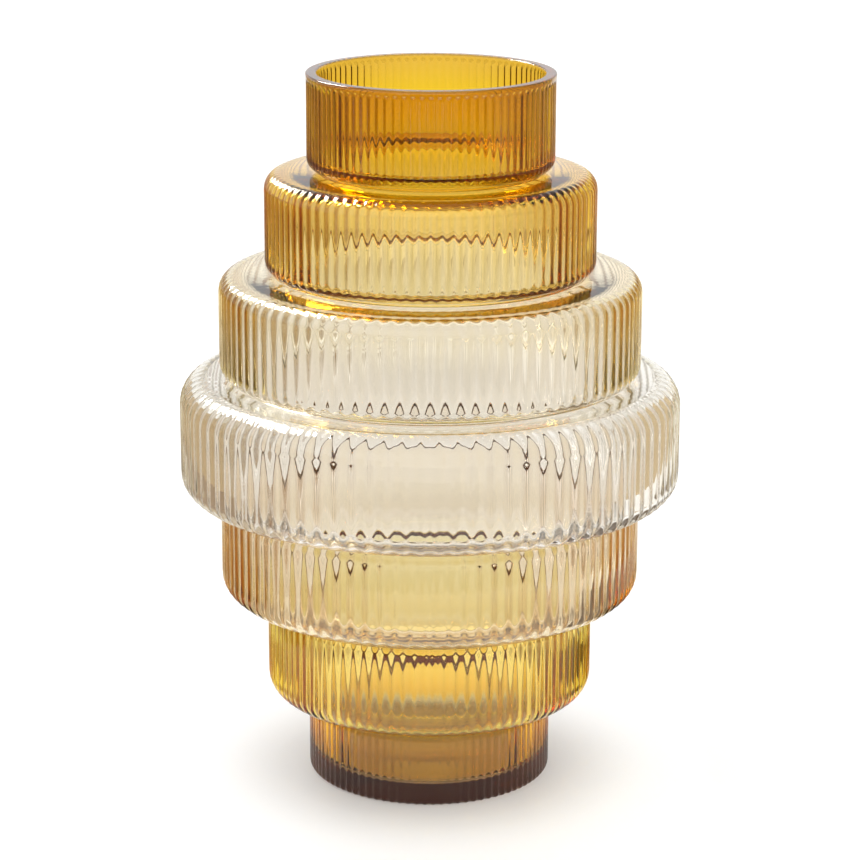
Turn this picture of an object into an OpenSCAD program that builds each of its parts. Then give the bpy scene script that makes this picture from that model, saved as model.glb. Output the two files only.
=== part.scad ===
// Stepped vase of ribbed amber glass, blown in one piece in a mould.
// Seven stacked drums of glass grow to a wide belly and shrink again to the foot.
// The glass is divided into named sections at the grooves between its drums.
// Millimetres, +Z up. The origin is on the ground, at the centre of the foot.

/* [Drum diameters, over the rib crests] */
// Outside diameter of the collar, the top drum with the mouth
collar_d = 102; // [84:1:124]
// Outside diameter of the upper shoulder
upper_shoulder_d = 137; // [114:1:166]
// Outside diameter of the lower shoulder
lower_shoulder_d = 175.5; // [146:0.5:211]
// Outside diameter of the belly, the widest drum
belly_d = 209; // [174:1:251]
// Outside diameter of the upper hip
upper_hip_d = 176; // [146:0.5:212]
// Outside diameter of the lower hip
lower_hip_d = 137.5; // [114:0.5:165]
// Outside diameter of the foot
foot_d = 103; // [85:1:124]

/* [Drum heights, from groove to groove] */
// Height of the collar, from the groove below it to the rim
collar_h = 40.5; // [33.5:0.5:49]
// Height of the upper shoulder
upper_shoulder_h = 42.5; // [35:0.5:51]
// Height of the lower shoulder
lower_shoulder_h = 43; // [35:0.5:52]
// Height of the belly
belly_h = 50; // [41:0.5:60]
// Height of the upper hip
upper_hip_h = 44.5; // [37:0.5:54]
// Height of the lower hip
lower_hip_h = 45; // [37:0.5:54]
// Height of the foot, from the ground to the groove above it
foot_h = 34.5; // [28.5:0.5:42]

/* [Glass thickness] */
// Wall of the collar, seen as the flat ring of the rim
collar_wall = 4.3; // [3.5:0.1:5.2]
// Wall of the two shoulders
shoulder_wall = 3; // [2.5:0.1:3.6]
// Wall of the belly, where the glass is blown thinnest
belly_wall = 2.4; // [2:0.1:2.9]
// Wall of the two hips
hip_wall = 3; // [2.5:0.1:3.6]
// Wall of the foot
foot_wall = 4.4; // [3.6:0.1:5.3]
// Glass between a groove and the hollow inside it
neck_wall = 4.6; // [3.8:0.1:5.6]
// Thickness of the base under the inside floor, at the edge
base_t = 8; // [6:0.5:10]

/* [Ribs] */
// Number of ribs around every drum
rib_count = 90; // [60:6:120]
// Depth of the valleys between ribs, as a share of the rib pitch
rib_depth_share = 0.11; // [0.05:0.005:0.16]
// Width of a valley, as a share of the rib pitch, where the rest is the flat crest
valley_share = 0.4; // [0.3:0.05:0.6]
// Height of the smooth band at the rim, above the ribs
rim_band = 2; // [1.5:0.1:3]
// How far the smooth band stands out past the rib crests
rim_proud = 0.3; // [0.1:0.05:0.6]

/* [Rounded edges] */
// Radius of the edge where a shoulder or hip turns up over its wall
shoulder_edge_r = 6.5; // [5.5:0.5:8]
// Radius of the edge over the belly, which is rounder than the others
belly_edge_r = 11; // [9:0.5:13]
// Radius of the lower edge of the collar and of the two shoulders
upper_under_r = 5; // [4:0.5:6]
// Radius of the lower edge of the belly and of the two hips
lower_under_r = 8.5; // [7:0.5:10]
// Radius of the polished edges of the rim
rim_edge_r = 0.7; // [0.4:0.1:1]
// Radius of the edge around the ring that the foot stands on
foot_edge_r = 2; // [1:0.25:3]
// Radius between the inside floor and the inside of the foot
floor_edge_r = 4; // [3:0.5:6]

/* [Grooves and base] */
// Height of the groove between two drums
groove_h = 1.2; // [1:0.1:2]
// Rise of the hollow under the base, so that the foot stands on a ring
punt_rise = 1.5; // [0.5:0.25:2.5]
// Width of the flat ring that the foot stands on
standing_w = 7; // [4:0.5:10]

/* [Hidden] */
$fn = 180;

deep_amber = [0.80, 0.56, 0.08, 0.75];
amber = [0.86, 0.69, 0.30, 0.65];
straw = [0.89, 0.82, 0.62, 0.55];
champagne = [0.90, 0.86, 0.76, 0.50];
brown_amber = [0.60, 0.38, 0.13, 0.80];

// Drums from the top down: [diameter, height, wall, upper edge radius, lower edge radius].
DRUMS = [
    [collar_d, collar_h, collar_wall, rim_edge_r, upper_under_r],
    [upper_shoulder_d, upper_shoulder_h, shoulder_wall, shoulder_edge_r, upper_under_r],
    [lower_shoulder_d, lower_shoulder_h, shoulder_wall, shoulder_edge_r, upper_under_r],
    [belly_d, belly_h, belly_wall, belly_edge_r, lower_under_r],
    [upper_hip_d, upper_hip_h, hip_wall, shoulder_edge_r, lower_under_r],
    [lower_hip_d, lower_hip_h, hip_wall, shoulder_edge_r, lower_under_r],
    [foot_d, foot_h, foot_wall, shoulder_edge_r, foot_edge_r],
];
last = len(DRUMS) - 1;

inside_edge_r = 2;   // least radius inside the glass
play = 0.05;         // how far the turned shape passes the rib crests that trim it
over = 1;            // how far a cutter passes what it cuts
half = groove_h / 2;

// Radius, wall, upper and lower edge radius of drum i.
function radius(i) = DRUMS[i][0] / 2;
function wall(i) = DRUMS[i][2];
function upper_r(i) = DRUMS[i][3];
function under_r(i) = DRUMS[i][4];

// Height of the plane under drum i, in the middle of the groove there.
function under(i) = i >= last ? 0 : under(i + 1) + DRUMS[i + 1][1];
// Height of the plane over drum i: the groove above it, or the rim.
function top(i) = under(i) + DRUMS[i][1];

// Radius of the bottom of the groove between drums i and i + 1.
function neck(i) =
    min(radius(i) - under_r(i), radius(i + 1) - upper_r(i + 1)) - half;
// Radius of the round lip inside drum i, which faces the groove.
function nose(i) = half + wall(i);
// Radius of the hollow at the groove between drums i and i + 1.
function bore(i) = min(
    neck(i) - neck_wall,
    radius(i) - wall(i) - inside_edge_r - nose(i),
    radius(i + 1) - wall(i + 1) - inside_edge_r - nose(i + 1));
// Radius of an inside edge that follows an outside edge of radius r through the wall.
function inside_r(r, i) = max(r - wall(i), inside_edge_r);

// Plane between the base pad and the wall of the foot.
pad_top = base_t + floor_edge_r;
// Inside radius of the standing ring, and radius of the shallow dish that it surrounds.
punt_r = radius(last) - foot_edge_r - standing_w;
dish_r = (punt_r * punt_r + punt_rise * punt_rise) / (2 * punt_rise);

// Outline of a ribbed drum: flat crests with narrow valleys between them.
rib_pitch = 360 / rib_count;
function rib_depth(r) = rib_depth_share * 2 * PI * r / rib_count;
// Points of one rib, each as [angle from the crest's middle, share of the valley's depth].
crest_side = (1 - valley_share) / 2 * rib_pitch;
RIB = [[-rib_pitch / 2, 1], [-crest_side, 0], [0, 0], [crest_side, 0]];
function rib_outline(r) = [
    for (i = [0 : rib_count - 1], p = RIB)
        let (a = i * rib_pitch + p[0],
             rr = r - p[1] * rib_depth(r))
        [rr * cos(a), rr * sin(a)]
];

// What a round edge of radius r takes off a square corner.
// sx and sy are 1 or -1 and point from the middle of the edge to the corner.
module corner(r, sx, sy) {
    difference() {
        translate([sx > 0 ? 0 : -r - over, sy > 0 ? 0 : -r - over])
            square(r + over);
        circle(r);
    }
}

// Half section of a plain drum, from the axis out to r. r0 and r1 round its lower and
// upper outer edge, where 0 leaves the edge square.
module bar(r, z0, z1, r0, r1) {
    difference() {
        translate([0, z0])
            square([r, z1 - z0]);
        if (r0 > 0)
            translate([r - r0, z0 + r0])
                corner(r0, 1, -1);
        if (r1 > 0)
            translate([r - r1, z1 - r1])
                corner(r1, 1, 1);
    }
}

// Half section that leads from radius r at height z to a wider drum.
// It ends in a quarter circle of radius e. side is 1 when the drum lies under z.
module throat(r, z, e, side) {
    difference() {
        translate([0, side > 0 ? z - e - 0.01 : z])
            square([r + e, e + 0.01]);
        translate([r + e, z])
            circle(e);
    }
}

// Half section of drum i, filled to the axis.
module outside(i) {
    bar(radius(i) + play, under(i) + (i < last ? half : 0), top(i) - (i > 0 ? half : 0),
        under_r(i) + play, upper_r(i) + play);
    if (i > 0)
        throat(neck(i - 1), top(i), half, 1);
    if (i < last)
        throat(neck(i), under(i), half, -1);
}

// Half section of the hollow in drum i. The collar's runs out of the mouth.
module inside(i) {
    r = radius(i) - wall(i);
    bar(r,
        i < last ? under(i) + nose(i) : base_t,
        i > 0 ? top(i) - nose(i) : top(i) + over,
        i < last ? inside_r(under_r(i), i) : floor_edge_r,
        i > 0 ? inside_r(upper_r(i), i) : 0);
    if (i > 0)
        throat(bore(i - 1), top(i), nose(i), 1);
    else
        translate([r + rim_edge_r, top(i) - rim_edge_r])
            corner(rim_edge_r, -1, 1);
    if (i < last)
        throat(bore(i), under(i), nose(i), -1);
}

// Glass of drum i between heights z0 and z1, turned about the axis.
module turned(i, z0, z1) {
    rotate_extrude()
        intersection() {
            difference() {
                outside(i);
                inside(i);
            }
            translate([0, z0])
                square([radius(i) + over, z1 - z0]);
        }
}

// Ribbed prism that drum i is trimmed to.
module ribs(i) {
    translate([0, 0, under(i) - over])
        linear_extrude(top(i) - under(i) + 2 * over)
            polygon(rib_outline(radius(i)));
}

// A whole drum of ribbed glass.
module drum(i) {
    intersection() {
        turned(i, under(i), top(i));
        ribs(i);
    }
}

// Top drum with the mouth. Its ribs end under a smooth rim that stands out a little.
module collar() {
    z = top(0) - rim_band;
    r = radius(0) + rim_proud;
    color(deep_amber)
        union() {
            intersection() {
                turned(0, under(0), z);
                ribs(0);
            }
            rotate_extrude()
                difference() {
                    bar(r, z, top(0), 0, rim_edge_r);
                    inside(0);
                }
        }
}

module upper_shoulder() {
    color(amber)
        drum(1);
}

module lower_shoulder() {
    color(champagne)
        drum(2);
}

module belly() {
    color(champagne)
        drum(3);
}

module upper_hip() {
    color(straw)
        drum(4);
}

module lower_hip() {
    color(amber)
        drum(5);
}

// Wall of the lowest drum, above the base.
module foot() {
    color(brown_amber)
        intersection() {
            turned(last, pad_top, top(last));
            ribs(last);
        }
}

// Thick base with the inside floor. A shallow dish under it leaves a flat ring to stand on.
module base_pad() {
    color(brown_amber)
        intersection() {
            difference() {
                turned(last, 0, pad_top);
                rotate_extrude()
                    intersection() {
                        translate([0, punt_rise - dish_r])
                            circle(dish_r, $fn = 1440);
                        translate([0, -over])
                            square([punt_r + over, punt_rise + 2 * over]);
                    }
            }
            ribs(last);
        }
}

collar();
upper_shoulder();
lower_shoulder();
belly();
upper_hip();
lower_hip();
foot();
base_pad();
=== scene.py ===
# %% [markdown]
# # A stepped vase of ribbed amber glass
# The real vase is one piece of glass, blown into a ribbed mould. So it is modelled as one
# closed skin. A section of the outside is drawn point by point and swept through the width
# of one rib. The valleys beside the rib are pressed in, and the rib is repeated all round.
# Then the smooth inside is spun, and the rim joins the two.
#
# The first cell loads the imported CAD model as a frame. Everything is in metres, and the vase
# stands on z = 0 with its axis on Z.

# %% Load the frame
import bpy
import bmesh
import math
from mathutils import Matrix, Vector


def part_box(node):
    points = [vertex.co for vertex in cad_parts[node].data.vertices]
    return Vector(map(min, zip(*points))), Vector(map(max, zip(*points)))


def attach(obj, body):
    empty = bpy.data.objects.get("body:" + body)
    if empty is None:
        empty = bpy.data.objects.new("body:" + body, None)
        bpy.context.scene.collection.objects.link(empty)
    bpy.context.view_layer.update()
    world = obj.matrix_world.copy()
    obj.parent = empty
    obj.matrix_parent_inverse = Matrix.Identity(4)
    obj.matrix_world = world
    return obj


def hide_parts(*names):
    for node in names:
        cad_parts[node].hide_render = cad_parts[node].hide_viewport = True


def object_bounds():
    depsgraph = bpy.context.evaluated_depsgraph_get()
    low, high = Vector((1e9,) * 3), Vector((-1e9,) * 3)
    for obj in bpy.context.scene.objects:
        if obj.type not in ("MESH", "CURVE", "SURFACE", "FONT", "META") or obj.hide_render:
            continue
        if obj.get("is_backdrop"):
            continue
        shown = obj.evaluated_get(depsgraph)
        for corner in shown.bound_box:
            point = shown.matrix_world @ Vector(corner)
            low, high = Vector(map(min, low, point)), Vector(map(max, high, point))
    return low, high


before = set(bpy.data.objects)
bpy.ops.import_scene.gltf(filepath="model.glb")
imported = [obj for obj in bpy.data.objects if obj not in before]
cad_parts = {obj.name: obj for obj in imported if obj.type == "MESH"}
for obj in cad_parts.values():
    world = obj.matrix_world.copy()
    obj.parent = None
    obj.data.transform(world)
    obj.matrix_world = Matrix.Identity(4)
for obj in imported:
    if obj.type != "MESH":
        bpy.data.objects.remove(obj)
cad_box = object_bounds()
print("CAD nodes:", ", ".join(sorted(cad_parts)))

# %% [markdown]
# ## Sizes
# A mould has the same number of ribs at every height, so the ribs are wider on a wide drum.
# They are as deep as a share of their width, up to the depth of the mould's flutes. The glass
# has a flat floor, and under it a shallow hollow, called the punt, so that it stands on a ring.

# %% Sizes that hold for the whole vase
MM = 0.001
RIBS = 90
RIB_DEPTH_SHARE = 0.16
FLUTE_DEPTH = 0.75 * MM
RIM_PROUD = 0.3 * MM
RIM_BAND = 2.0 * MM
RIM_FLAT = 0.3 * MM
HALF_GROOVE = 0.6 * MM
LIP_WIDTH = 16 * MM
LIP_GAP = 0.5 * MM
LIP_STEPS = 4
FLOOR = 8.0 * MM
FLOOR_CORNER = 4.0 * MM
LEAST_CORNER = 2.0 * MM
PUNT_RISE = 1.5 * MM
PUNT_BEND = 0.6
STANDING_RING = 7.0 * MM
pitch = 2 * math.pi / RIBS
print(f"one rib is {math.degrees(pitch):.0f} degrees wide")

# %% [markdown]
# ## The seven drums
# Each drum's radius and heights are read off its CAD node, so the skin follows the CAD. What
# the node's box can't tell is listed here: the wall, the radius of the lower and the upper
# edge, the share of the wall that is left where the glass turns in to a groove, and the wall
# of the neck in the groove above. Blown glass is thinnest where it is blown widest.

# %% Read the drums
DRUMS = [  # node, wall, lower edge, upper edge, shelf share, neck wall; from the foot up, in mm
    ("foot", 4.4, 2.0, 6.5, 0.6, 2.0),
    ("lower_hip", 3.0, 8.5, 6.5, 0.6, 2.0),
    ("upper_hip", 3.0, 8.5, 6.5, 0.6, 2.0),
    ("belly", 2.4, 8.5, 11.0, 0.6, 2.0),
    ("lower_shoulder", 3.0, 5.0, 6.5, 0.6, 3.0),
    ("upper_shoulder", 3.0, 5.0, 6.5, 1.0, 3.0),
    ("collar", 4.3, 5.0, 0.7, 1.0, 0.0),
]
drums = []
for name, wall, low_edge, high_edge, shelf, neck_wall in DRUMS:
    low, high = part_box(name)
    radius = high[0] - (RIM_PROUD if name == "collar" else 0)
    drums.append({"name": name, "radius": radius, "bottom": low[2], "top": high[2],
                  "wall": wall * MM, "low_edge": low_edge * MM, "high_edge": high_edge * MM,
                  "nose": HALF_GROOVE + wall * MM * shelf, "neck_wall": neck_wall * MM})
foot, collar = drums[0], drums[-1]
foot["bottom"] = 0.0
last = len(drums) - 1
widest = max(d["radius"] for d in drums)
for d in drums:
    print(d["name"], "radius", round(d["radius"] / MM, 2), "mm, top at", round(d["top"] / MM, 1), "mm")

# %% [markdown]
# The grooves between the drums are narrow slots with a round bottom. Both neighbours of a
# groove limit how deep it is, and how far the glass inside may reach in.


# %% Radii at the grooves
def neck(i):
    """Radius at the bottom of the groove over drum i."""
    under, over = drums[i], drums[i + 1]
    return min(under["radius"] - under["high_edge"], over["radius"] - over["low_edge"]) - HALF_GROOVE


def bore(i):
    """Radius of the hollow at the groove over drum i."""
    clear = [d["radius"] - 2 * d["wall"] - HALF_GROOVE - LEAST_CORNER for d in drums[i:i + 2]]
    return min([neck(i) - drums[i]["neck_wall"]] + clear)


print("grooves, outside and inside radius in mm:",
      [(round(neck(i) / MM, 1), round(bore(i) / MM, 1)) for i in range(last)])

# %% [markdown]
# ## The section
# A point of the section is (radius, height, rib). rib is 1 where the ribs are full, and fades
# to 0 where the mould lets them run out, so that they end softly on the shoulders. An arc is
# a list of such points, and its angles count from the level line outwards.


# %% Helpers for a section
def plain(angle):
    """No ribs at all."""
    return 0.0


def fading(full, gone):
    """Ribs that are full up to one angle, are gone at another, and fade smoothly between."""
    def rib(angle):
        t = min(1, max(0, (abs(angle) - full) / (gone - full)))
        return 1 - t * t * (3 - 2 * t)
    return rib


def arc(r, z, radius, start, end, steps, rib=plain):
    """Points on a circle about (r, z), from the start to the end angle in degrees."""
    points = []
    for k in range(steps + 1):
        angle = start + (end - start) * k / steps
        turn = math.radians(angle)
        points.append((r + radius * math.cos(turn), z + radius * math.sin(turn), rib(angle)))
    return points


def thinned(points, least=0.03 * MM):
    """The same points without those that lie on the one before."""
    kept = [points[0]]
    for p in points[1:]:
        if math.hypot(p[0] - kept[-1][0], p[1] - kept[-1][1]) > least:
            kept.append(p)
    return kept


# %% [markdown]
# ## The outside of one drum
# Every drum is a straight ribbed wall between two round edges. The big edges under the hips
# and the belly carry the ribs far round, the sharper edges under the shoulders let them go
# early, and on the foot they run almost down to the table.


# %% Outside of a drum
def lower_edge(i):
    """Arc from the groove or the table up to the wall of drum i."""
    d = drums[i]
    bottom = d["bottom"] + (HALF_GROOVE if i else 0)
    if i == 0:
        steps, rib = 3, fading(50, 100)
    elif d["name"] in ("lower_hip", "upper_hip", "belly"):
        steps, rib = 6, fading(25, 70)
    else:
        steps, rib = 5, fading(0, 35)
    edge = d["low_edge"]
    return arc(d["radius"] - edge, bottom + edge, edge, -90, 0, steps, rib)


def upper_edge(i):
    """Arc from the wall of drum i in to the groove over it."""
    d = drums[i]
    steps = 8 if d["name"] == "belly" else 6
    edge = d["high_edge"]
    return arc(d["radius"] - edge, d["top"] - HALF_GROOVE - edge, edge, 0, 90, steps, fading(42, 84))


# %% [markdown]
# Above the ribs of the collar a smooth band runs to the rim. It stands a little proud, and
# the ribs run out into it over three millimetres.


# %% Outside of the rim
def rim_outside():
    """Points from the end of the collar's ribs up and over the rim's outer edge."""
    top = collar["top"]
    rim = collar["radius"] + RIM_PROUD
    run_out = [(0.0, -2.4, 1), (0.1, -1.2, 0.7), (0.5, -0.4, 0.25), (1.0, 0.4, 0)]
    points = [(collar["radius"] + RIM_PROUD * share, top - RIM_BAND + up * MM, rib)
              for share, up, rib in run_out]
    points += arc(rim - collar["high_edge"], top - collar["high_edge"], collar["high_edge"], 0, 90, 3)
    points.append((rim - collar["high_edge"] - RIM_FLAT, top, 0))
    return points


# %% [markdown]
# The whole outside starts at the middle of the punt, comes down to the standing ring, and
# then climbs drum by drum to the rim.

# %% Section of the outside
punt = foot["radius"] - foot["low_edge"] - STANDING_RING
outside = [(0, PUNT_RISE, 0)]
outside.append((punt * PUNT_BEND, PUNT_RISE * (1 - PUNT_BEND ** 2), 0))
outside.append((punt, 0, 0))
for i, d in enumerate(drums):
    if i:
        outside += arc(neck(i - 1) + HALF_GROOVE, d["bottom"], HALF_GROOVE, 180, 90, 2)[1:]
    outside += lower_edge(i)
    if i < last:
        outside += upper_edge(i)
        outside += arc(neck(i) + HALF_GROOVE, d["top"], HALF_GROOVE, -90, -180, 2)
outside = thinned(outside + rim_outside())
print("points in the outside section:", len(outside))

# %% [markdown]
# ## Drawing and spinning
# The section is drawn as by hand: a plane is merged to one vertex, and the vertex is extruded
# from point to point. Spinning the line about the axis makes a surface. For one rib the line
# starts in the middle of a valley and is spun in even steps to the next valley. Even steps
# suit ribs that are soft waves.


# %% Draw a section
def draw(name, points, angle):
    """A new mesh object: one vertex, pulled from point to point in the upright plane at an angle."""
    c, s = math.cos(angle), math.sin(angle)
    bpy.ops.object.select_all(action="DESELECT")
    bpy.ops.mesh.primitive_plane_add(size=MM, location=(0, 0, 0))
    drawn = bpy.context.object
    drawn.name = name
    bpy.ops.object.mode_set(mode="EDIT")
    bpy.ops.mesh.select_all(action="SELECT")
    bpy.ops.mesh.merge(type="CENTER")
    bpy.ops.transform.translate(value=(points[0][0] * c, points[0][0] * s, points[0][1]))
    for a, b in zip(points, points[1:]):
        out = b[0] - a[0]
        bpy.ops.mesh.extrude_region_move(
            TRANSFORM_OT_translate={"value": (out * c, out * s, b[1] - a[1])})
    bpy.ops.mesh.select_all(action="SELECT")
    return drawn


# %% [markdown]
# A rib could be spun in many thin steps. Eight are enough, because the faces are shaded
# smooth, and they keep the whole vase under 200,000 triangles.

# %% Spin one rib
RIB_STEPS = 8
vase = draw("vase_glass", outside, -pitch / 2)
for step in range(RIB_STEPS):
    bpy.ops.mesh.spin(steps=1, angle=pitch / RIB_STEPS, center=(0, 0, 0), axis=(0, 0, 1))
bpy.ops.mesh.select_all(action="SELECT")
bpy.ops.mesh.normals_make_consistent(inside=False)
bpy.ops.object.mode_set(mode="OBJECT")
print("one rib:", len(vase.data.vertices), "vertices")

# %% [markdown]
# ## Pressing the valleys in
# A vertex's weight says how deep the mould presses it: all the way in a valley, not at all on
# a crest, and less where the ribs fade. Displacing along the normals lets the ribs follow the
# round edges of each drum, which moving points level towards the axis would not.


# %% How deep a vertex goes
def key(r, z):
    """A point of the section as two whole numbers of thousandths of a millimetre."""
    return round(r * 1e6), round(z * 1e6)


rib_at = {key(r, z): rib for r, z, rib in outside}


def rib_near(r, z):
    """The section's rib share at a vertex, found within a thousandth of a millimetre."""
    a, b = key(r, z)
    near = [(a + i, b + j) for i in (0, -1, 1) for j in (0, -1, 1)]
    return next(rib_at[k] for k in near if k in rib_at)


def pressed_in(co):
    """How deep the mould presses a vertex in, in metres."""
    r = math.hypot(co.x, co.y)
    turn = math.atan2(co.y, co.x) / pitch if r > 1e-6 else 0
    across = 2 * abs(turn - round(turn))
    wave = (1 - math.cos(math.pi * across)) / 2
    return min(RIB_DEPTH_SHARE * pitch * r, FLUTE_DEPTH) * rib_near(r, co.z) * wave


# %% [markdown]
# The weights go into a vertex group, and a Displace modifier reads it.

# %% Press the valleys
valley = vase.vertex_groups.new(name="valley")
for v in vase.data.vertices:
    valley.add([v.index], min(1, pressed_in(v.co) / FLUTE_DEPTH), "REPLACE")
bpy.ops.object.select_all(action="DESELECT")
vase.select_set(True)
bpy.context.view_layer.objects.active = vase
press = vase.modifiers.new("ribs", "DISPLACE")
press.direction = "NORMAL"
press.vertex_group = "valley"
press.mid_level = 0
press.strength = -FLUTE_DEPTH
bpy.ops.object.modifier_apply(modifier="ribs")
print("deepest valley:", FLUTE_DEPTH / MM, "mm")

# %% [markdown]
# The finished rib is repeated all round by a spin that makes copies, and the edges where two
# copies meet are merged into one skin.

# %% Repeat the rib
MERGE = 0.012 * MM
bpy.ops.object.mode_set(mode="EDIT")
bpy.ops.mesh.select_all(action="SELECT")
bpy.ops.mesh.spin(steps=RIBS - 1, dupli=True, angle=2 * math.pi - pitch, center=(0, 0, 0), axis=(0, 0, 1))
bpy.ops.mesh.select_all(action="SELECT")
bpy.ops.mesh.remove_doubles(threshold=MERGE)
bpy.ops.object.mode_set(mode="OBJECT")
print("outside:", len(vase.data.vertices), "vertices")

# %% [markdown]
# ## The inside
# The air that blows the glass leaves its inside smooth, and it turns each groove into a wide
# soft lip. A quarter of a long oval gives that lip. A round lip as high as the wall is thick
# would show as a broad dark ring through the glass.


# %% Lips and corners of the inside
def lip(i, side):
    """Oval lip over (side 1) or under (side -1) the groove over drum i, from where it is narrowest."""
    d = drums[i + 1] if side > 0 else drums[i]
    edge = d["low_edge"] if side > 0 else d["high_edge"]
    corner = max(edge - d["wall"], LEAST_CORNER)
    room = d["radius"] - d["wall"] - corner - bore(i) - LIP_GAP
    width = min(LIP_WIDTH, room)
    points = []
    for k in range(LIP_STEPS + 1):
        t = math.pi / 2 * k / LIP_STEPS
        z = drums[i]["top"] + side * d["nose"] * math.sin(t)
        points.append((bore(i) + width * (1 - math.cos(t)), z, 0))
    return points


def inner_wall(i):
    """Inside of drum i, from its lower corner to its upper one."""
    d = drums[i]
    r = d["radius"] - d["wall"]
    low = d["bottom"] + d["nose"] if i else FLOOR
    low_corner = max(d["low_edge"] - d["wall"], LEAST_CORNER) if i else FLOOR_CORNER
    points = arc(r - low_corner, low + low_corner, low_corner, -90, 0, 3)
    if i < last:
        high_corner = max(d["high_edge"] - d["wall"], LEAST_CORNER)
        points += arc(r - high_corner, d["top"] - d["nose"] - high_corner, high_corner, 0, 90, 3)
    return points


# %% [markdown]
# The floor is flat and meets the foot's wall in a round corner. At the rim, the inner edge is
# rounded like the outer one, as fire-polishing leaves it.

# %% Section of the inside
floor_r = foot["radius"] - foot["wall"] - FLOOR_CORNER
inside = [(floor_r * share, FLOOR, 0) for share in (0, 0.3, 0.6, 0.85)]
for i in range(len(drums)):
    if i:
        inside += lip(i - 1, 1)[1:]
    inside += inner_wall(i)
    if i < last:
        inside += lip(i, -1)[::-1]
mouth, edge, top = collar["radius"] - collar["wall"], collar["high_edge"], collar["top"]
inside.append((mouth, top - edge - 0.4 * MM, 0))
inside += arc(mouth + edge, top - edge, edge, 180, 90, 3)
inside.append((mouth + edge + RIM_FLAT, top, 0))
inside = thinned(inside)
print("points in the inside section:", len(inside))

# %% [markdown]
# A smooth surface needs far fewer steps round than the ribs do.

# %% Spin the inside
INSIDE_STEPS = 96
liner = draw("vase_inside", inside, 0)
bpy.ops.mesh.spin(steps=INSIDE_STEPS, angle=2 * math.pi, center=(0, 0, 0), axis=(0, 0, 1),
                  use_auto_merge=True)
bpy.ops.mesh.select_all(action="SELECT")
bpy.ops.mesh.remove_doubles(threshold=MERGE)
bpy.ops.object.mode_set(mode="OBJECT")
print("inside:", len(liner.data.vertices), "vertices")

# %% [markdown]
# ## One skin
# Inside and outside are joined into one object. Each has one open edge, at the rim, with a
# different number of points. Bridging would twist the faces, so the flat ring between the two
# edges is filled. The skin is then closed, and light that enters the glass also leaves it.

# %% Join at the rim
bpy.ops.object.select_all(action="DESELECT")
liner.select_set(True)
vase.select_set(True)
bpy.context.view_layer.objects.active = vase
bpy.ops.object.join()
bpy.ops.object.mode_set(mode="EDIT")
bpy.ops.mesh.select_mode(type="EDGE")
bpy.ops.mesh.select_all(action="DESELECT")
bpy.ops.mesh.select_non_manifold(extend=False, use_wire=False, use_boundary=True,
                                 use_multi_face=False, use_non_contiguous=False, use_verts=False)
bpy.ops.mesh.fill(use_beauty=True)

# %% [markdown]
# The normals are recalculated once the skin is closed, so that they point out of the glass
# everywhere, into the room and into the hollow alike. Then a count of edges that don't have
# two faces shows whether it really is closed.

# %% Finish the skin
bpy.ops.mesh.select_mode(type="VERT")
bpy.ops.mesh.select_all(action="SELECT")
bpy.ops.mesh.normals_make_consistent(inside=False)
bpy.ops.mesh.quads_convert_to_tris()
bpy.ops.object.mode_set(mode="OBJECT")
bpy.ops.object.shade_smooth()
bm = bmesh.new()
bm.from_mesh(vase.data)
open_edges = sum(1 for e in bm.edges if len(e.link_faces) != 2)
print("triangles:", len(bm.faces), "open edges:", open_edges)
print("glass:", round(bm.calc_volume() * 1e6), "cm3")
bm.free()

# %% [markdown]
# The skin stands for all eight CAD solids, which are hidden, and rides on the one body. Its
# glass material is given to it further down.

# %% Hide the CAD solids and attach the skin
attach(vase, "root")
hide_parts("collar", "upper_shoulder", "lower_shoulder", "belly",
            "upper_hip", "lower_hip", "foot", "base_pad")

# %% [markdown]
# ## The colour of the glass
# Real amber glass is the same stuff all through, so a long way through it looks darker and
# browner. This vase is deep amber at the collar and the foot, and almost clear in the belly.
# The table gives the light that one wall lets through at each height. One part of it tints
# the surface. The other part is absorbed in the depth of the glass, which is what
# darkens the edges, the lips and the thick floor.

# %% Table of colours
WALL_TINT = [  # height in mm, (red, green, blue) that one wall lets through; from the foot up
    (0, (0.86, 0.75, 0.67)),
    (8, (0.86, 0.75, 0.67)),
    (13, (0.905, 0.58, 0.11)),
    (30, (0.925, 0.66, 0.16)),
    (40, (0.94, 0.80, 0.32)),
    (70, (0.96, 0.87, 0.46)),
    (84, (0.955, 0.87, 0.71)),
    (120, (0.965, 0.91, 0.83)),
    (130, (0.965, 0.95, 0.92)),
    (174, (0.965, 0.95, 0.905)),
    (190, (0.96, 0.92, 0.83)),
    (215, (0.95, 0.88, 0.70)),
    (225, (0.92, 0.78, 0.40)),
    (250, (0.91, 0.73, 0.30)),
    (262, (0.87, 0.63, 0.12)),
    (280, (0.79, 0.51, 0.02)),
    (300, (0.71, 0.43, 0.05)),
]
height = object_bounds()[1][2]
print("colours:", len(WALL_TINT), "over", round(height / MM), "mm")


# %% [markdown]
# Absorption follows Beer's law: the light that is left falls with the power of the way through
# the glass. So the share of the colour that is left to the surface is a power too, and the
# rest is turned into an absorption per metre, through the wall's thickness there. The collar
# and the foot have strong colours, so more of theirs is kept in the surface, where it doesn't
# turn the edges black.


# %% Split the colour
DENSITY = 500


def surface_share(z):
    """Share of (red, green, blue) that tints the surface at a height in mm."""
    if z > 255:
        return 0.5, 0.7, 0.6
    if 10 < z < 36:
        return 0.4, 0.5, 0.4
    if 80 < z < 216:
        return 0.05, 0.15, 0.05
    return 0.05, 0.25, 0.2


def wall_at(z):
    """Wall thickness at a height in mm."""
    return next(d["wall"] for d in drums if z * MM <= d["top"] + 1e-6)


def surface_tint(z, tint):
    """Colour for the surface."""
    return [c ** share for c, share in zip(tint, surface_share(z))]


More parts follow.
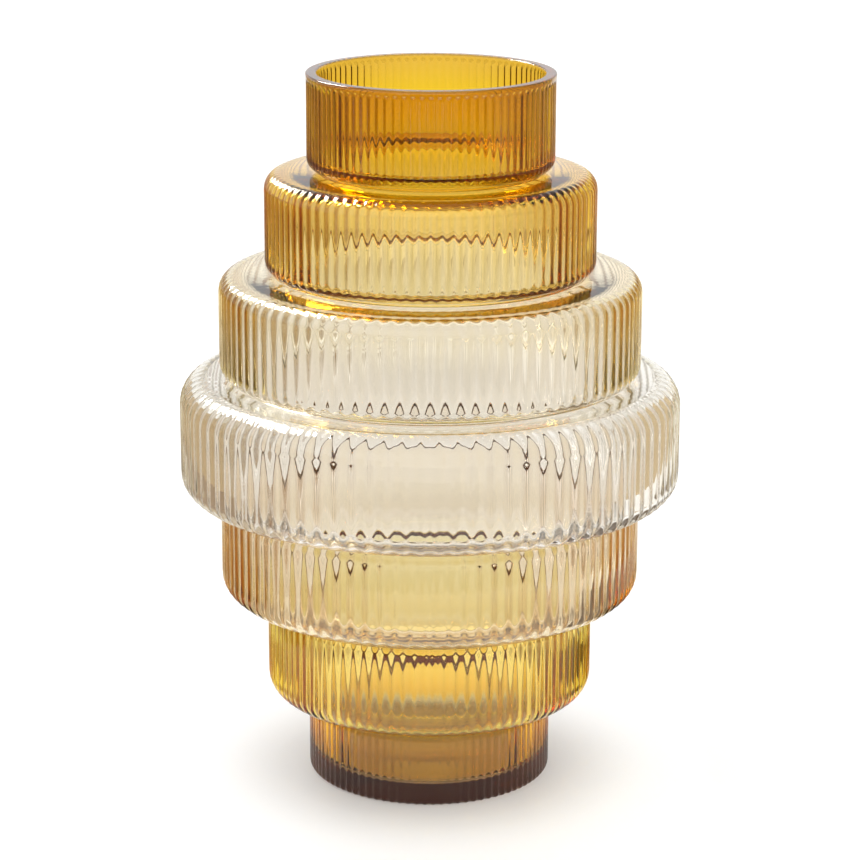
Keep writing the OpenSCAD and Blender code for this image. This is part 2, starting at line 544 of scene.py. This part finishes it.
def depth_tint(z, tint):
    """Colour for the absorption node, which absorbs DENSITY times what this colour lacks."""
    wall = wall_at(z)
    return [max(0, 1 + math.log(c) * (1 - share) / wall / DENSITY)
            for c, share in zip(tint, surface_share(z))]


# %% [markdown]
# ## The glass material
# The height on the object drives two colour ramps, one for the surface and one for the depth.
# Object coordinates keep the colours in place on the vase. The gloss and the transmission
# come from a Principled shader, and the depth from Volume Absorption.


# %% Helpers for a material
def new_tree(name):
    """An empty node material, and its tree."""
    material = bpy.data.materials.new(name)
    material.use_nodes = True
    material.node_tree.nodes.clear()
    return material, material.node_tree


def add_ramp(tree, value, stops):
    """A colour ramp with soft steps, from a value and a list of (place, colour)."""
    ramp = tree.nodes.new("ShaderNodeValToRGB")
    ramp.color_ramp.interpolation = "EASE"
    elements = ramp.color_ramp.elements
    while len(elements) < len(stops):
        elements.new(0.5)
    for element, (place, colour) in zip(elements, stops):
        element.position = place
    for element, (place, colour) in zip(elements, stops):
        element.color = (*colour, 1)
    tree.links.new(value, ramp.inputs["Fac"])
    return ramp.outputs["Color"]


# %% [markdown]
# The shader itself is clear and glossy, and bends light about as much as soda glass does.

# %% Glass shader
glass, tree = new_tree("amber_glass")
out = tree.nodes.new("ShaderNodeOutputMaterial")
bsdf = tree.nodes.new("ShaderNodeBsdfPrincipled")
bsdf.inputs["Transmission Weight"].default_value = 1
bsdf.inputs["IOR"].default_value = 1.5
tree.links.new(bsdf.outputs["BSDF"], out.inputs["Surface"])
coord = tree.nodes.new("ShaderNodeTexCoord")
split = tree.nodes.new("ShaderNodeSeparateXYZ")
tree.links.new(coord.outputs["Object"], split.inputs["Vector"])
level = tree.nodes.new("ShaderNodeMath")
level.operation = "DIVIDE"
level.inputs[1].default_value = height
tree.links.new(split.outputs["Z"], level.inputs[0])

# %% [markdown]
# Both ramps read the same level, from 0 at the foot to 1 at the rim.

# %% Colour of the surface and of the depth
surface_stops = [(z * MM / height, surface_tint(z, tint)) for z, tint in WALL_TINT]
depth_stops = [(z * MM / height, depth_tint(z, tint)) for z, tint in WALL_TINT]
tree.links.new(add_ramp(tree, level.outputs[0], surface_stops), bsdf.inputs["Base Color"])
absorb = tree.nodes.new("ShaderNodeVolumeAbsorption")
absorb.inputs["Density"].default_value = DENSITY
tree.links.new(add_ramp(tree, level.outputs[0], depth_stops), absorb.inputs["Color"])
tree.links.new(absorb.outputs["Volume"], out.inputs["Volume"])
print("absorption at density", DENSITY)

# %% [markdown]
# ## Waves in the surface
# Glass that was blown into a mould is never quite even. The mould chills it, and the surface
# keeps faint waves a couple of centimetres long, with places that are slightly less glossy.
# One soft noise drives both: a bump for the waves, and a roughness from none to a trace.

# %% Waves and gloss
waves = tree.nodes.new("ShaderNodeTexNoise")
waves.inputs["Scale"].default_value = 45
waves.inputs["Detail"].default_value = 2
tree.links.new(coord.outputs["Object"], waves.inputs["Vector"])
swell = tree.nodes.new("ShaderNodeBump")
swell.inputs["Strength"].default_value = 0.25
swell.inputs["Distance"].default_value = 0.4 * MM
tree.links.new(waves.outputs["Fac"], swell.inputs["Height"])
tree.links.new(swell.outputs["Normal"], bsdf.inputs["Normal"])
gloss = tree.nodes.new("ShaderNodeMapRange")
gloss.inputs["From Min"].default_value = 0.4
gloss.inputs["From Max"].default_value = 0.7
gloss.inputs["To Max"].default_value = 0.03
tree.links.new(waves.outputs["Fac"], gloss.inputs["Value"])
tree.links.new(gloss.outputs["Result"], bsdf.inputs["Roughness"])
vase.data.materials.clear()
vase.data.materials.append(glass)
print("material:", glass.name, "with", len(tree.nodes), "nodes")

# %% [markdown]
# ## The studio
# Clear glass shows its surroundings more than itself, so the studio is part of its look. The
# vase stands on a white floor in even white light. The floor glows a little, so that it reads
# as white up to the horizon. Near the foot the glow is turned down, which paints a soft shadow
# round the vase, on top of the shadow that the vase really casts.

# %% White floor
FLOOR_RADIUS = 8
belly_r = widest
bpy.ops.mesh.primitive_circle_add(vertices=128, radius=FLOOR_RADIUS, fill_type="NGON", location=(0, 0, 0))
floor = bpy.context.object
floor.name = "floor"
white = bpy.data.materials.new("white_floor")
white.use_nodes = True
nodes, links = white.node_tree.nodes, white.node_tree.links
paint = nodes["Principled BSDF"]
paint.inputs["Base Color"].default_value = (0.72, 0.72, 0.72, 1)
paint.inputs["Roughness"].default_value = 0.6
paint.inputs["Emission Color"].default_value = (1, 1, 1, 1)
floor.data.materials.append(white)
floor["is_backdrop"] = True

# %% [markdown]
# The glow is driven by the distance from the vase's axis, and its drop near the foot is painted shadow.

# %% Glow of the floor, with painted shadow near the foot
floor_coord = nodes.new("ShaderNodeTexCoord")
distance = nodes.new("ShaderNodeVectorMath")
distance.operation = "LENGTH"
links.new(floor_coord.outputs["Object"], distance.inputs[0])
glow_and_painted_shadow = nodes.new("ShaderNodeMapRange")
glow_and_painted_shadow.interpolation_type = "SMOOTHSTEP"
glow_and_painted_shadow.inputs["From Min"].default_value = 0.42 * belly_r
glow_and_painted_shadow.inputs["From Max"].default_value = 0.95 * belly_r
# To Min is the glow at the foot: the drop to it from To Max paints the contact shadow.
glow_and_painted_shadow.inputs["To Min"].default_value = 0.16
glow_and_painted_shadow.inputs["To Max"].default_value = 0.42
links.new(distance.outputs["Value"], glow_and_painted_shadow.inputs["Value"])
links.new(glow_and_painted_shadow.outputs["Result"], paint.inputs["Emission Strength"])

# %% [markdown]
# The room is a plain white world, a touch brighter than the floor.

# %% White room
world = bpy.data.worlds.new("studio")
bpy.context.scene.world = world
world.use_nodes = True
room = world.node_tree.nodes["Background"]
room.inputs["Color"].default_value = (1, 1, 1, 1)
room.inputs["Strength"].default_value = 1.05

# %% [markdown]
# ## Cards
# In pure white light, glass has no edges. So a studio stands dark cards beside it, just out
# of view, and the sides of the glass bend them into its outline. These cards are brown, as
# wood would be. The camera and the light on the floor pass through them: only the glass
# sees them.


# %% A card
def only_for_glass(card):
    """Hides a stage piece from the camera, from shadows and from light on the floor."""
    card.visible_camera = False
    card.visible_shadow = False
    card.visible_diffuse = False
    card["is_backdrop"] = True


def card(name, at, size, colour, upright=False):
    """A matt card. at is its middle in radii of the belly, and size its two sides."""
    quarter = math.pi / 2
    turn = (quarter, 0, quarter) if upright else (0, 0, 0)
    bpy.ops.mesh.primitive_plane_add(size=1, location=[c * belly_r for c in at], rotation=turn)
    made = bpy.context.object
    made.name = name
    made.scale = (size[0] * belly_r, size[1] * belly_r, 1)
    bpy.ops.object.transform_apply(location=False, rotation=False, scale=True)
    matt = bpy.data.materials.new(name)
    matt.use_nodes = True
    matt.node_tree.nodes["Principled BSDF"].inputs["Base Color"].default_value = (*colour, 1)
    matt.node_tree.nodes["Principled BSDF"].inputs["Roughness"].default_value = 0.8
    made.data.materials.append(matt)
    only_for_glass(made)


# %% [markdown]
# Two flags stand at the sides. The other cards lie on the ground or hang overhead: the view is
# from above, so most rays leave the glass downwards. The dark card in front keeps the room's
# white off the front of the glass, and its colour stays clean.

# %% Place the cards
card("flag_left", (-3.6, 1.0, 1.15), (14, 2.3), (0.52, 0.38, 0.22), upright=True)
card("flag_right", (3.6, -1.0, 2.6), (10, 5.2), (0.62, 0.48, 0.30), upright=True)
card("ground_left", (-5.0, 1.0, 0.02), (5, 14), (0.30, 0.19, 0.10))
card("ground_right", (6.0, 1.0, 0.02), (3.6, 14), (0.30, 0.19, 0.10))
card("near_right", (1.9, 1.2, 0.02), (1.5, 3), (0.12, 0.07, 0.03))
card("near_left", (-1.9, 1.2, 0.02), (1.5, 3), (0.50, 0.38, 0.22))
card("cream_ground", (0, 6.6, 0.03), (4.4, 10.8), (0.82, 0.78, 0.71))
card("front_ground", (0, -10, 0.03), (9, 12), (0.05, 0.04, 0.03))
card("ceiling", (0, 2, 12), (30, 26), (0.55, 0.50, 0.44))

# %% [markdown]
# ## The softbox
# One softbox hangs behind the vase, high on the left. The round upper edges of the drums
# mirror it as a bright spot on each rib. It is a glowing card and not a lamp, so that it lays
# no second shadow.

# %% Softbox
bpy.ops.mesh.primitive_plane_add(size=1, location=(-6 * belly_r, 5.5 * belly_r, 9 * belly_r))
softbox = bpy.context.object
softbox.name = "softbox_left"
towards_vase = Vector((0, 0, 1.6 * belly_r)) - softbox.location
softbox.rotation_euler = towards_vase.to_track_quat("-Z", "Y").to_euler()
softbox.scale = (5 * belly_r, 3.5 * belly_r, 1)
shine = bpy.data.materials.new("softbox_left")
shine.use_nodes = True
lamp = shine.node_tree.nodes["Principled BSDF"]
lamp.inputs["Base Color"].default_value = (0, 0, 0, 1)
lamp.inputs["Emission Color"].default_value = (1, 1, 1, 1)
lamp.inputs["Emission Strength"].default_value = 34
softbox.data.materials.append(shine)
only_for_glass(softbox)

# %% [markdown]
# ## The camera
# The camera stands about 1.2 metres away and looks down a little, with a long lens that keeps
# the drums' ellipses flat. Light crosses many walls on its way through the vase, so the render
# lets it bend more often than usual.

# %% Camera
PITCH = 15.85
ROLL = 0.18
AWAY, UP = 11.408, 4.6606
tilt = Matrix.Rotation(math.radians(90 - PITCH), 3, "X")
roll = Matrix.Rotation(math.radians(ROLL), 3, "Z")
bpy.ops.object.camera_add(location=(0, -AWAY * belly_r, UP * belly_r), rotation=(tilt @ roll).to_euler())
camera = bpy.context.object
camera.name = "camera"
camera.data.sensor_width = 36
LENS = 123.488372
camera.data.lens = LENS
scene = bpy.context.scene
scene.camera = camera
scene.view_settings.view_transform = "Standard"
scene.cycles.max_bounces = 24
scene.cycles.transmission_bounces = 24
scene.cycles.glossy_bounces = 12
print("camera", round(AWAY * belly_r, 3), "m away and", round(UP * belly_r, 3), "m up")

# %% [markdown]
# ## Finish
# The box of the CAD and the box of the finished vase are kept side by side, so that anyone can
# see that the skin is as big as the CAD says.

# %% Finish
new_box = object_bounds()
for name, box in (("CAD", cad_box), ("finished", new_box)):
    print(name, "box:", [[round(c, 4) for c in corner] for corner in box])
